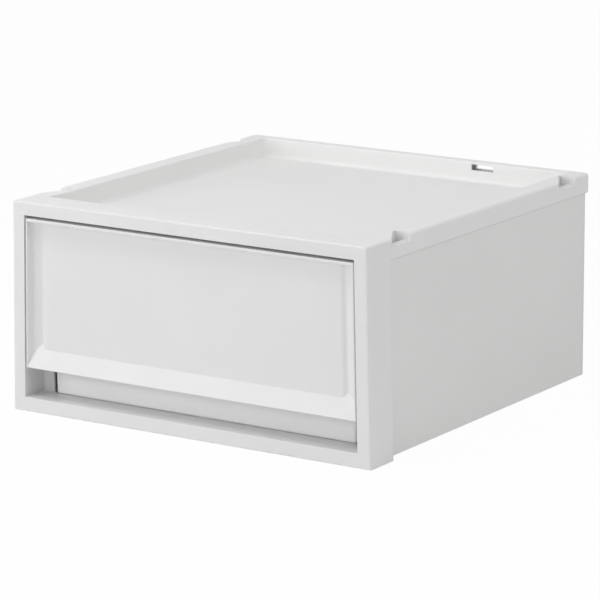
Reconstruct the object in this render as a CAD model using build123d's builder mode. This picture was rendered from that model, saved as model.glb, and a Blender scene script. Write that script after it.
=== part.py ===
"""Stackable drawer box: a moulded carcass with one full-width drawer.

Millimetres, +Z up, front towards -Y. The origin is on the floor, under the middle of the box.
Carcass: front frame, top tray, two side panels, back panel and base panel.
Drawer: an open tub with a dished front hooked onto it.
"""
import os

from build123d import *

os.makedirs("parts", exist_ok=True)

# ---- overall size -------------------------------------------------------------------------
width = 390.0  # across the top of the front frame and across the tray's skirts
height = 202.0  # floor to the top of the frame and of the tray's rims
depth = 403.0  # front face to the rear skirt
flare = 4.0  # each side of the front frame leans out by this much down to the floor

# ---- moulding -----------------------------------------------------------------------------
wall = 2.5  # frame, tray and panel walls
snug = 0.2  # gap where a panel tucks behind a skirt
run_gap = 0.3  # drawer over its sill and runners
tiny = 1e-6  # tolerance when edges are chosen by place

# ---- drawer tub ---------------------------------------------------------------------------
tub_wall = 2.2
tub_side_gap = 15.5  # tub's lip to the side panels
tub_lean = 4.2  # each side wall leans in by this much towards the bottom
tub_back_lean = 3.0
tub_lip = 2.5  # how far the lip stands out
tub_lip_h = 2.4
tub_top_gap = 5.5  # tub's lip to the underside of the tray
tub_set = 25.3  # tub's front wall behind the front face
tub_corner = 3.0  # plan radius of the tub's corners
tub_foot_r = 2.4  # radius round the tub's bottom edge
tub_rear_gap = 9.0  # tub to back panel
ear_set = 340.0  # stop ears behind the front face
ear_len = 12.0
ear_ramp = 8.0  # the ear's rear slopes over this length
ear_gap = 0.6  # ear under the tray

# ---- front frame --------------------------------------------------------------------------
frame_depth = 39.0
frame_face = 3.0  # thickness of the front face
bar_side = 13.2  # side bars, seen from the front
bar_top = 13.0
sill_h = 14.0
flange_set = 29.2  # stop flange behind the front face
throat_side = 5.2  # tub's leaning side to the flange
throat_top = 2.5  # tub lip to the top flange
frame_corner = 3.0
frame_edge = 1.8
frame_rear_round = 1.4  # rear edge of the top bar, over the tray

# ---- top tray -----------------------------------------------------------------------------
tray_drop = 20.0  # rim top down to the tray floor
skirt_drop = 18.8  # rim top down to the skirts' lower edge
rim_side = 19.5
rim_rear = 12.0
rim_round = 3.6  # outer top edges and rear corners
rim_inner_round = 1.6
floor_round = 4.0

pocket_len = 33.5  # along the outer side; the inner wall runs slantwise
pocket_back = 4.0  # straight part of the inner wall, at the rear
pocket_width = 8.4  # deep part, inside the lip
pocket_deep = 15.5
pocket_end = 1.6  # end walls of the pockets
rear_pocket_set = 28.0  # rear end of the rear pockets to the rear skirt
ledge_drop = 7.6  # outer lip of a pocket, below the rim

slot_width = 25.0
slot_h = 6.0
slot_drop = 2.7  # top of the slot below the rim
slot_set = 113.2  # middle of the rear slot from the right side

# ---- panels -------------------------------------------------------------------------------
side_lift = 1.5  # side and back panels above the floor
base_rib_h = 6.0
base_rib = 2.0
base_channels = 3
runner_set = 58.0  # middle of a runner inside the tub's side
runner_width = 5.0
guide_gap = 1.2  # guide rail to the tub's side
guide_h = 8.0
foot_side = 18.8  # rear feet to the side panels
foot_len = 42.0
foot_width = 16.0
foot_set = 30.0  # rear feet in front of the back panel

# ---- drawer front -------------------------------------------------------------------------
front_inset = 0.3  # drawer front behind the frame's face
front_gap = 1.2  # drawer front to the side bars
front_top_gap = 2.9
finger_gap = 28.6  # sill to the lower edge of the drawer front
front_back_gap = 1.0  # returns of the drawer front to the flange
front_wall = 2.6
front_edge = 0.8
dish_lip = 1.9  # thin lip round the sides
dish_lip_top = 3.0
dish_lip_bottom = 0.9
dish_step = 5.4  # depth of the steep wall inside the lip
dish_step_run = 0.3
dish_valley = 9.6  # deepest line of the sides
dish_valley_set = 13.3  # deepest line, inside the front's edge
dish_field = 7.4  # depth of the flat middle
dish_field_set = 17.5  # where the flat middle starts, inside the front's edge
dish_round = 4.0  # inside the lip and along the deepest line
dish_crest_round = 6.0  # where the sides rise to the flat middle
dish_bevel = 17.0  # height of the bottom bevel
pull_lip = 3.2  # thickness of the pull's lower edge
rib_end = 14.0  # ribs end this far below the lower hooks, to leave room for fingers
rib_set = 58.0  # ribs inside the tub's side
hook_drops = (24.0, 82.0)  # hooks below the tub's lip
hook_width = 9.0
hook_t = 3.0
hook_lip = 3.0
hook_gap = 0.3

# ---- heights and planes that several pieces share -----------------------------------------
front_y = -depth / 2
rear_y = depth / 2
frame_back_y = front_y + frame_depth
flange_y = front_y + flange_set
flange_back_y = flange_y + wall
open_top = height - bar_top
tray_floor = height - tray_drop
tray_under = tray_floor - wall
skirt_z = height - skirt_drop
ledge_z = height - ledge_drop
panel_top = ledge_z - wall
panel_x = width / 2 - wall - snug  # outer face of a side panel
panel_in = panel_x - wall
back_out = rear_y - wall - snug
back_in = back_out - wall
base_top = sill_h - wall
base_under = base_top - wall
tub_bottom = sill_h + run_gap
tub_top = tray_under - tub_top_gap
tub_half = panel_in - tub_side_gap - tub_lip
tub_y = front_y + tub_set
tub_rear = back_in - tub_rear_gap
throat_z = tub_top + throat_top
drawer_y = front_y + front_inset
front_top = open_top - front_top_gap
front_bottom = sill_h + finger_gap
front_back = flange_y - front_back_gap
dish_x = width / 2 - rim_side  # inner face of a side rim
dish_y = rear_y - rim_rear


def lean(z):
    """Half width of the front frame at height z."""
    return width / 2 + flare * (height - z) / height


def upright(z_low, z_high, inset=0.0, mode=Mode.ADD):
    """Front outline between two heights, set in from the leaning sides."""
    low, high = lean(z_low) - inset, lean(z_high) - inset
    Polygon((-low, z_low), (low, z_low), (high, z_high), (-high, z_high), align=None, mode=mode)


def tub_side(z):
    """Half width of the tub at height z, under its lip."""
    return tub_half - tub_lean * (tub_top - z) / (tub_top - tub_bottom)


def facing(y):
    """Plane at y that faces the front. A negative extrusion runs towards the rear."""
    return Plane.XZ.offset(-y)


def block(x0, x1, y0, y1, z0, z1, mode=Mode.ADD):
    """Block between two corners, on the builder that is open."""
    with Locations(((x0 + x1) / 2, (y0 + y1) / 2, (z0 + z1) / 2)):
        Box(abs(x1 - x0), y1 - y0, z1 - z0, mode=mode)


# ---- front frame --------------------------------------------------------------------------
with BuildPart() as front_frame:
    with BuildSketch(facing(front_y)):
        upright(0, height)
    extrude(amount=-frame_depth)
    fillet(front_frame.edges().filter_by(Axis.Y).group_by(Axis.Z)[-1], radius=frame_corner)
    fillet(front_frame.faces().sort_by(Axis.Y)[0].edges(), radius=frame_edge)
    # opening, with the lining that runs back to the stop flange
    with BuildSketch(facing(front_y)):
        upright(sill_h, open_top, bar_side)
    extrude(amount=-flange_set, mode=Mode.SUBTRACT)
    # throat of the flange: the tub passes, the drawer front does not
    with BuildSketch(facing(flange_y)):
        low, high = tub_side(sill_h) + throat_side, tub_side(throat_z) + throat_side
        Polygon((-low, sill_h), (low, sill_h), (high, throat_z), (-high, throat_z), align=None)
    extrude(amount=-(frame_depth - flange_set), mode=Mode.SUBTRACT)
    # channel behind the face, open to the rear: the panels and the tray tuck in here
    with BuildSketch(facing(front_y + frame_face)):
        upright(wall, height - wall, wall)
        upright(base_top, open_top + wall, bar_side - wall, mode=Mode.SUBTRACT)
    extrude(amount=-(frame_depth - frame_face), mode=Mode.SUBTRACT)
    # behind the flange only the outer walls and the sill go on
    with BuildSketch(facing(flange_back_y)):
        upright(sill_h, open_top + wall, bar_side - wall)
    extrude(amount=-(frame_depth - flange_set - wall), mode=Mode.SUBTRACT)
    # the top bar ends at the flange, which closes it over the tray
    block(-dish_x, dish_x, flange_y, flange_back_y, open_top, height - wall)
    block(-dish_x, dish_x, flange_back_y, frame_back_y, open_top, height, mode=Mode.SUBTRACT)
    across = front_frame.edges().filter_by(Axis.X)
    rear_edge = across.filter_by_position(Axis.Y, flange_back_y - tiny, flange_back_y + tiny)
    fillet(rear_edge.sort_by(Axis.Z)[-1], radius=frame_rear_round)
front_frame.part.label = "front_frame"

# ---- side panels --------------------------------------------------------------------------
with BuildPart() as side_panel_right:
    with BuildSketch(Plane.YZ.offset(panel_in)):
        Polygon(
            (front_y + frame_face, wall),
            (frame_back_y, wall),
            (frame_back_y, side_lift),
            (back_in, side_lift),
            (back_in, panel_top),
            (front_y + frame_face, panel_top),
            align=None,
        )
    extrude(amount=wall)
side_panel_right.part.label = "side_panel_right"

with BuildPart() as side_panel_left:
    add(mirror(side_panel_right.part, about=Plane.YZ, mode=Mode.PRIVATE))
side_panel_left.part.label = "side_panel_left"

# ---- back panel ---------------------------------------------------------------------------
with BuildPart() as back_panel:
    block(-panel_x, panel_x, back_in, back_out, side_lift, panel_top)
    fillet(back_panel.edges().filter_by(Axis.Z).group_by(Axis.Y)[-1], radius=wall / 2)
back_panel.part.label = "back_panel"

# ---- base panel ---------------------------------------------------------------------------
rib_y0 = frame_back_y
rib_y1 = back_in
guide_x = tub_side(tub_bottom) + guide_gap + base_rib

with BuildPart() as base_panel:
    # plate: its front edge tucks under the sill
    block(-panel_in, panel_in, front_y + frame_face, back_in, base_under, base_top)
    # stiffening ribs underneath, front to rear
    for i in range(base_channels + 1):
        x = (panel_in - base_rib / 2) * (2 * i / base_channels - 1)
        block(x - base_rib / 2, x + base_rib / 2, rib_y0, rib_y1, base_under - base_rib_h, base_under)
    for side in (-1, 1):
        # runner under the tub
        x = side * (tub_half - runner_set)
        block(x - runner_width / 2, x + runner_width / 2, rib_y0, rib_y1, base_top, sill_h)
        # guide rail beside the tub
        x = side * (guide_x - base_rib / 2)
        block(x - base_rib / 2, x + base_rib / 2, rib_y0, rib_y1, base_top, base_top + guide_h)
        # rear foot, level with the frame's underside
        x = side * (panel_in - foot_side - foot_len / 2)
        y = back_in - foot_set
        block(x - foot_len / 2, x + foot_len / 2, y - foot_width, y, 0, base_under)
base_panel.part.label = "base_panel"

# ---- top tray -----------------------------------------------------------------------------
front_pocket_y = frame_back_y + pocket_end
rear_pocket_y = rear_y - rear_pocket_set - pocket_len
pocket_x = dish_x + wall
pocket_floor = height - pocket_deep
slot_x = width / 2 - slot_set

with BuildPart() as top_tray:
    block(-width / 2, width / 2, frame_back_y, rear_y, skirt_z, height)
    fillet(top_tray.edges().filter_by(Axis.Z).group_by(Axis.Y)[-1], radius=rim_round)
    outer = top_tray.faces().sort_by(Axis.Z)[-1].edges()
    fillet(outer.sort_by(Axis.Y)[1:], radius=rim_round)
    # the dish that takes the box above, open towards the frame
    block(-pocket_x, pocket_x, frame_back_y, dish_y + wall, tray_under, skirt_z + wall)
    block(-dish_x, dish_x, frame_back_y, dish_y, tray_floor, height, mode=Mode.SUBTRACT)
    inner = top_tray.edges().filter_by_position(Axis.Z, tray_floor, height)
    inner = inner.filter_by_position(Axis.X, -dish_x, dish_x)
    inner = inner.filter_by_position(Axis.Y, frame_back_y, dish_y)
    fillet(inner.filter_by(Axis.Z).group_by(Axis.Y)[-1], radius=floor_round)
    top_rim = top_tray.faces().filter_by(Axis.Z).sort_by(Axis.Z)[-1]
    inside = [e for e in top_rim.edges() if abs(e.center().X) <= dish_x + tiny
              and frame_back_y < e.center().Y <= dish_y + tiny]
    fillet(inside, radius=rim_inner_round)
    levels = top_tray.faces().filter_by(Axis.Z)
    floor = levels.filter_by_position(Axis.Z, tray_floor - tiny, tray_floor + tiny)[0]
    fillet([e for e in floor.edges() if e.center().Y > frame_back_y + tiny], radius=floor_round)
    # hollow under the rims
    with BuildSketch(Plane.XY.offset(skirt_z)):
        with Locations((0, (frame_back_y + rear_y - wall) / 2)):
            Rectangle(width - 2 * wall, rear_y - wall - frame_back_y)
        with Locations((0, (frame_back_y + dish_y + wall) / 2)):
            Rectangle(2 * pocket_x, dish_y + wall - frame_back_y, mode=Mode.SUBTRACT)
    extrude(amount=skirt_drop - wall, mode=Mode.SUBTRACT)
    # front edge: the floor meets the back of the flange, the sides tuck under the frame's top
    block(-panel_in, panel_in, flange_back_y, frame_back_y, tray_under, tray_floor)
    for side in (-1, 1):
        block(side * dish_x, side * pocket_x, flange_back_y, frame_back_y, tray_floor, height - wall)
    # pockets for the stacking joints, with a low outer lip over each side panel
    for side in (-1, 1):
        for y in (front_pocket_y, rear_pocket_y):
            y0, y1 = y - pocket_end, y + pocket_len + pocket_end
            block(side * pocket_x, side * panel_in, y0, y1, pocket_floor - wall, height - wall)
            block(side * panel_in, side * (width / 2 - wall), y0, y1, panel_top, height - wall)
            # plan: the inner wall slants from the outer front corner to a short straight part
            y0, y1 = y, y + pocket_len
            outer_x, inner_x, lip_x = width / 2, pocket_x, pocket_x + pocket_width
            straight_y = y1 - pocket_back
            lip_y = straight_y - (straight_y - y0) * pocket_width / (outer_x - inner_x)
            with BuildSketch(Plane.XY.offset(ledge_z)):
                Polygon((side * outer_x, y0), (side * outer_x, y1), (side * inner_x, y1),
                        (side * inner_x, straight_y), align=None)
            extrude(amount=ledge_drop, mode=Mode.SUBTRACT)
            with BuildSketch(Plane.XY.offset(pocket_floor)):
                Polygon((side * lip_x, lip_y), (side * lip_x, y1), (side * inner_x, y1),
                        (side * inner_x, straight_y), align=None)
            extrude(amount=pocket_deep, mode=Mode.SUBTRACT)
    # slot through the hollow rear rim
    block(slot_x - slot_width / 2, slot_x + slot_width / 2, dish_y, rear_y,
          height - slot_drop - slot_h, height - slot_drop, mode=Mode.SUBTRACT)
top_tray.part.label = "top_tray"

# ---- drawer tub ---------------------------------------------------------------------------
hook_slot_h = hook_t + hook_lip + 2 * hook_gap
rib_x = tub_half - rib_set


def tub_section(inset, z):
    """Plan of the tub at height z: sides and rear lean, the front stands upright."""
    half = tub_side(z) - inset
    rear = tub_rear - tub_back_lean * (tub_top - z) / (tub_top - tub_bottom) - inset
    face = tub_y + inset
    with BuildSketch(Plane.XY.offset(z)) as section:
        with Locations((0, (face + rear) / 2)):
            RectangleRounded(2 * half, rear - face, tub_corner - inset)
    return section.sketch


with BuildPart() as drawer_tub:
    loft([tub_section(0, tub_bottom), tub_section(0, tub_top)])
    fillet(drawer_tub.faces().sort_by(Axis.Z)[0].edges(), radius=tub_foot_r)
    # lip round the sides and the rear
    with BuildSketch(Plane.XY.offset(tub_top - tub_lip_h)):
        with Locations((0, (tub_y + tub_rear + tub_lip) / 2)):
            RectangleRounded(2 * (tub_half + tub_lip), tub_rear + tub_lip - tub_y, tub_corner)
    extrude(amount=tub_lip_h)
    # stop ears: they meet the top flange at full travel
    for side in (-1, 1):
        with BuildSketch(Plane.YZ.offset(side * (tub_half - tub_wall))):
            y0 = front_y + ear_set
            Polygon(
                (y0, tub_top - tub_lip_h),
                (y0 + ear_len, tub_top - tub_lip_h),
                (y0 + ear_len, tub_top),
                (y0 + ear_len - ear_ramp, tray_under - ear_gap),
                (y0, tray_under - ear_gap),
                align=None,
            )
        extrude(amount=side * (tub_wall + tub_lip))
    loft([tub_section(tub_wall, tub_bottom + tub_wall), tub_section(tub_wall, tub_top)],
         mode=Mode.SUBTRACT)
    # slots for the front's hooks
    for side in (-1, 1):
        for drop in hook_drops:
            x, z = side * rib_x, tub_top - drop
            half = hook_width / 2 + hook_gap
            block(x - half, x + half, tub_y, tub_y + tub_wall, z, z + hook_slot_h, mode=Mode.SUBTRACT)
drawer_tub.part.label = "drawer_tub"

# ---- drawer front -------------------------------------------------------------------------
edge_inset = bar_side + front_gap
dish_top = front_top - dish_lip_top
bevel_z = front_bottom + dish_lip_bottom
valley_z = bevel_z + dish_bevel * dish_valley / dish_field
back_half = lean(front_top) - edge_inset - front_wall
back_plane = drawer_y + dish_valley + front_wall
rib_low = tub_top - hook_drops[-1] - rib_end


def dish_section(z):
    """Plan of the dished face at height z: lip, steep wall, valley, crest and flat middle."""
    edge = lean(z) - edge_inset
    steps = [(edge - dish_lip, 0), (edge - dish_lip - dish_step_run, dish_step),
             (edge - dish_valley_set, dish_valley), (edge - dish_field_set, dish_field)]
    right = [(x, drawer_y + deep) for x, deep in steps]
    left = [(-x, y) for x, y in reversed(right)]
    with BuildSketch(Plane.XY.offset(z)) as section:
        Polygon(*right, *left, align=None)
        corners = section.vertices().group_by(Axis.Y)
        fillet(corners[1] + corners[3], radius=dish_round)
        fillet(section.vertices().filter_by_position(Axis.Y, drawer_y + dish_field - tiny,
                                                     drawer_y + dish_field + tiny),
               radius=dish_crest_round)
    return section.sketch


with BuildPart() as drawer_front:
    with BuildSketch(facing(drawer_y)):
        upright(front_bottom, front_top, edge_inset)
    extrude(amount=-(front_back - drawer_y))
    fillet(drawer_front.faces().sort_by(Axis.Y)[0].edges(), radius=front_edge)
    # dished face, then the long bevel that closes it at the bottom
    loft([dish_section(bevel_z), dish_section(dish_top)], ruled=True, mode=Mode.SUBTRACT)
    bevel_half = lean(bevel_z) - edge_inset - dish_lip / 2
    with BuildSketch(Plane.YZ.offset(-bevel_half)):
        Polygon((drawer_y, bevel_z), (back_plane, bevel_z), (back_plane, valley_z),
                (drawer_y + dish_valley, valley_z), align=None)
    extrude(amount=2 * bevel_half)
    # hollow back, open below: the lower edge is the pull
    with BuildSketch(Plane.YZ.offset(-back_half)):
        Polygon(
            (back_plane, front_top - front_wall),
            (front_back, front_top - front_wall),
            (front_back, front_bottom),
            (drawer_y + pull_lip, front_bottom),
            (back_plane, valley_z),
            align=None,
        )
    extrude(amount=2 * back_half, mode=Mode.SUBTRACT)
    # ribs that seat on the tub, each with hooks through its front wall
    for side in (-1, 1):
        x = side * rib_x
        block(x - front_wall / 2, x + front_wall / 2, back_plane - front_wall / 2, tub_y,
              rib_low, front_top - front_wall / 2)
        for drop in hook_drops:
            z0 = tub_top - drop + hook_gap
            hook_y = tub_y + tub_wall + hook_gap
            block(x - hook_width / 2, x + hook_width / 2, tub_y - hook_t, hook_y + hook_t,
                  z0, z0 + hook_t)
            block(x - hook_width / 2, x + hook_width / 2, hook_y, hook_y + hook_t,
                  z0 - hook_lip, z0)
drawer_front.part.label = "drawer_front"

# ---- write one file for each piece --------------------------------------------------------
pieces = [front_frame, top_tray, side_panel_left, side_panel_right, back_panel, base_panel,
          drawer_tub, drawer_front]
for piece in pieces:
    export_step(piece.part, f"parts/{piece.part.label}.step")
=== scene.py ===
"""Looks for the stackable drawer box: camera, studio light, floor and moulded-plastic materials.

Metres, +Z up, front towards -Y, as in the frame.
"""
import math

import bpy
from mathutils import Matrix, Vector

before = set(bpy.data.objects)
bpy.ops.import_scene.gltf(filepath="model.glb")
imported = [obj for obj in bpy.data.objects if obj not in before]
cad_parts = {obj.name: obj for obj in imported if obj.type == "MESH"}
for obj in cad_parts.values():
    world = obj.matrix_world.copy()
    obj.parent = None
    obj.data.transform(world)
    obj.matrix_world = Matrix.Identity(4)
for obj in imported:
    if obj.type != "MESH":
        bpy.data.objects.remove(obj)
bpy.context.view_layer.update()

# ---- camera: the photograph's viewing angle --------------------------------------------------
camera_place = (1.7993, -2.7353, 0.8524)
camera_aim = (-0.0042, -0.0054, 0.0915)
camera_roll = -0.257  # degrees
camera_lens = 211.04  # mm, on a sensor 36 mm wide
sensor_width = 36.0
camera_reach = 100.0  # how far it sees

# ---- light -----------------------------------------------------------------------------------
world_level = 0.30  # radiance of the surroundings
lamp_aim = (0.0, 0.0, 0.1)
lamps = {
    # name: place, size, power in watts
    "key": ((-1.884, -2.690, 0.980), 1.6, 26.1),
    "front": ((0.286, -3.272, 0.980), 1.6, 11.8),
    "right": ((2.991, -0.262, 1.696), 1.6, 24.9),
    "top_left": ((-0.402, -0.573, 1.312), 0.6, 5.1),
    "back": ((0.417, 2.368, 2.504), 1.6, 14.9),
}
white = (1.0, 1.0, 1.0, 1.0)

# ---- floor -----------------------------------------------------------------------------------
floor_half = 14.0
floor_drop = 0.0002  # how far it lies under the box's feet
floor_colour = (0.86, 0.86, 0.86, 1.0)
floor_white = 0.97  # share of plain white that the floor shows to the camera

# ---- plastic ---------------------------------------------------------------------------------
plastic_ior = 1.49
glow = 0.15  # share of light that scatters inside the pale plastic
glow_depth = 0.003  # how far it travels there
glow_colour = (1.0, 1.0, 1.0)
flow_size = 0.12  # slow tone changes across a moulding
flow_dark = 0.975  # share of its colour that the plastic keeps in their darker parts
flow_detail = 2.0
patch_size = 0.03  # uneven gloss
patch_detail = 4.0
patch_spread = 0.04  # how far it takes the roughness up and down
grain_size = 0.00035
grain_depth = 0.000012
grain_detail = 2.0
edge_round = 0.0006  # softening of moulded edges, in shading only
edge_samples = 4
painted_shade_reach = 0.0022  # how near the next piece must be for a panel to get painted shade along their seam
painted_shade_tone = 0.45  # share of its colour that the panel keeps in that painted shade
painted_shade_span = (0.5, 0.95)  # how open the panel is at the darkest and where it is plain again
painted_shade_samples = 8
noise_span = (0.3, 0.7)  # values between which the noise mostly stays


def aimed(place, aim):
    """Matrix of something at place that faces aim."""
    turn = (Vector(aim) - Vector(place)).to_track_quat("-Z", "Y").to_matrix().to_4x4()
    return Matrix.Translation(Vector(place)) @ turn


def make_camera():
    """Camera at the photograph's place, tilted by its small roll."""
    data = bpy.data.cameras.new("camera")
    data.lens = camera_lens
    data.sensor_width = sensor_width
    data.clip_end = camera_reach
    camera = bpy.data.objects.new("camera", data)
    bpy.context.scene.collection.objects.link(camera)
    roll = Matrix.Rotation(math.radians(camera_roll), 4, "Z")
    camera.matrix_world = aimed(camera_place, camera_aim) @ roll
    bpy.context.scene.camera = camera


def make_lamps():
    """Soft square lamps around the box."""
    for name, (place, size, power) in lamps.items():
        data = bpy.data.lights.new(name, "AREA")
        data.size = size
        data.energy = power
        lamp = bpy.data.objects.new(name, data)
        bpy.context.scene.collection.objects.link(lamp)
        lamp.matrix_world = aimed(place, lamp_aim)


def add(tree, kind, inputs=None, **settings):
    """Add a node with its settings, then its inputs: each a value or another node's output."""
    made = tree.nodes.new(kind)
    for name, value in settings.items():
        setattr(made, name, value)
    for key, value in (inputs or {}).items():
        if isinstance(value, bpy.types.NodeSocket):
            tree.links.new(value, made.inputs[key])
        else:
            made.inputs[key].default_value = value
    return made


def seen_directly(tree):
    """1 for rays from the camera, off gloss or through glass, 0 for diffuse light."""
    path = add(tree, "ShaderNodeLightPath")
    seen = path.outputs["Is Camera Ray"]
    for kind in ("Is Glossy Ray", "Is Transmission Ray"):
        either = add(tree, "ShaderNodeMath", {0: seen, 1: path.outputs[kind]}, operation="MAXIMUM")
        seen = either.outputs[0]
    return seen


def make_world():
    """Even surroundings that look plain white to the camera."""
    world = bpy.data.worlds.new("studio")
    world.use_nodes = True
    bpy.context.scene.world = world
    tree = world.node_tree
    tree.nodes.clear()
    even = add(tree, "ShaderNodeBackground", {"Color": white, "Strength": world_level})
    plain = add(tree, "ShaderNodeBackground", {"Color": white, "Strength": 1.0})
    mix = add(tree, "ShaderNodeMixShader",
              {0: seen_directly(tree), 1: even.outputs[0], 2: plain.outputs[0]})
    add(tree, "ShaderNodeOutputWorld", {"Surface": mix.outputs[0]})


def make_floor():
    """Plain pale floor. It keeps a faint part of the box's shadow."""
    mesh = bpy.data.meshes.new("floor")
    corners = [(x * floor_half, y * floor_half, -floor_drop)
               for x, y in ((-1, -1), (1, -1), (1, 1), (-1, 1))]
    mesh.from_pydata(corners, [], [(0, 1, 2, 3)])
    floor = bpy.data.objects.new("floor", mesh)
    bpy.context.scene.collection.objects.link(floor)
    material = bpy.data.materials.new("floor")
    material.use_nodes = True
    tree = material.node_tree
    tree.nodes.clear()
    pale = add(tree, "ShaderNodeBsdfDiffuse", {"Color": floor_colour})
    plain = add(tree, "ShaderNodeEmission", {"Color": white, "Strength": 1.0})
    share = add(tree, "ShaderNodeMath", {0: seen_directly(tree), 1: floor_white},
                operation="MULTIPLY")
    mix = add(tree, "ShaderNodeMixShader",
              {0: share.outputs[0], 1: pale.outputs[0], 2: plain.outputs[0]})
    add(tree, "ShaderNodeOutputMaterial", {"Surface": mix.outputs[0]})
    mesh.materials.append(material)


def noise(tree, size, detail, offset):
    """Noise with features of about the given size in metres, fixed to the object."""
    where = add(tree, "ShaderNodeTexCoord")
    shift = add(tree, "ShaderNodeVectorMath",
                {0: where.outputs["Object"], 1: (offset, offset, offset)}, operation="ADD")
    texture = add(tree, "ShaderNodeTexNoise",
                  {"Vector": shift.outputs[0], "Scale": 1.0 / size, "Detail": detail})
    return texture.outputs["Fac"]


def spread(tree, value, old, new):
    """Map a value from the old span of numbers onto the new one."""
    span = add(tree, "ShaderNodeMapRange", {
        "Value": value, "From Min": old[0], "From Max": old[1], "To Min": new[0], "To Max": new[1]})
    return span.outputs["Result"]


def painted_seam_shade(tree, colour):
    """Darken a colour where another surface is very near: painted shade along a seam, standing for
    the shadow there.
    """
    near = add(tree, "ShaderNodeAmbientOcclusion", {"Distance": painted_shade_reach}, samples=painted_shade_samples)
    share = spread(tree, near.outputs["AO"], painted_shade_span, (painted_shade_tone, 1.0))
    shaded = add(tree, "ShaderNodeVectorMath", {"Vector": colour, "Scale": share},
                 operation="SCALE")
    return shaded.outputs["Vector"]


def plastic(name, colour, roughness, offset=0.0, grain=1.0, with_painted_seam_shade=False):
    """Satin moulded polypropylene: faint flow tones, fine grain and softened edges."""
    material = bpy.data.materials.new(name)
    material.use_nodes = True
    tree = material.node_tree
    shader = tree.nodes["Principled BSDF"]
    shader.inputs["IOR"].default_value = plastic_ior
    shader.inputs["Subsurface Weight"].default_value = glow
    shader.inputs["Subsurface Radius"].default_value = glow_colour
    shader.inputs["Subsurface Scale"].default_value = glow_depth
    # colour: slow flow tones, and painted shade along seams
    flow = spread(tree, noise(tree, flow_size, flow_detail, offset), noise_span, (0.0, 1.0))
    darker = [channel * flow_dark for channel in colour]
    tone = add(tree, "ShaderNodeMix",
               {"Factor": flow, "A": (*darker, 1.0), "B": (*colour, 1.0)}, data_type="RGBA")
    base = tone.outputs["Result"]
    # painted shade: the colour is darkened where another piece is near
    if with_painted_seam_shade:
        base = painted_seam_shade(tree, base)
    tree.links.new(base, shader.inputs["Base Color"])
    # roughness: small uneven patches
    patches = spread(tree, noise(tree, patch_size, patch_detail, offset + 1.0), noise_span,
                     (roughness - patch_spread, roughness + patch_spread))
    tree.links.new(patches, shader.inputs["Roughness"])
    # surface: softened edges under a fine grain
    soft = add(tree, "ShaderNodeBevel", {"Radius": edge_round}, samples=edge_samples)
    bump = add(tree, "ShaderNodeBump", {
        "Strength": 1.0, "Distance": grain_depth * grain, "Normal": soft.outputs["Normal"],
        "Height": noise(tree, grain_size, grain_detail, offset + 2.0)})
    tree.links.new(bump.outputs["Normal"], shader.inputs["Normal"])
    return material


def dress(material, *nodes):
    """Give a material to CAD nodes."""
    for name in nodes:
        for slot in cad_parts[name].material_slots:
            slot.material = material


# ---- make the scene --------------------------------------------------------------------------
bpy.context.scene.view_settings.view_transform = "Standard"
make_camera()
make_lamps()
make_world()
make_floor()

dress(plastic("frame_plastic", (0.845, 0.845, 0.843), 0.34), "front_frame")
dress(plastic("tray_plastic", (0.885, 0.885, 0.880), 0.48, offset=3.0), "top_tray")
# the panels get painted shade along their seams, such as the thin dark line under the tray's skirt
dress(plastic("panel_plastic", (0.855, 0.855, 0.848), 0.55, offset=6.0, grain=1.6, with_painted_seam_shade=True),
      "side_panel_left", "side_panel_right", "back_panel", "base_panel")
dress(plastic("tub_plastic", (0.930, 0.930, 0.928), 0.46, offset=9.0), "drawer_tub")
dress(plastic("front_plastic", (0.845, 0.845, 0.848), 0.42, offset=12.0), "drawer_front")
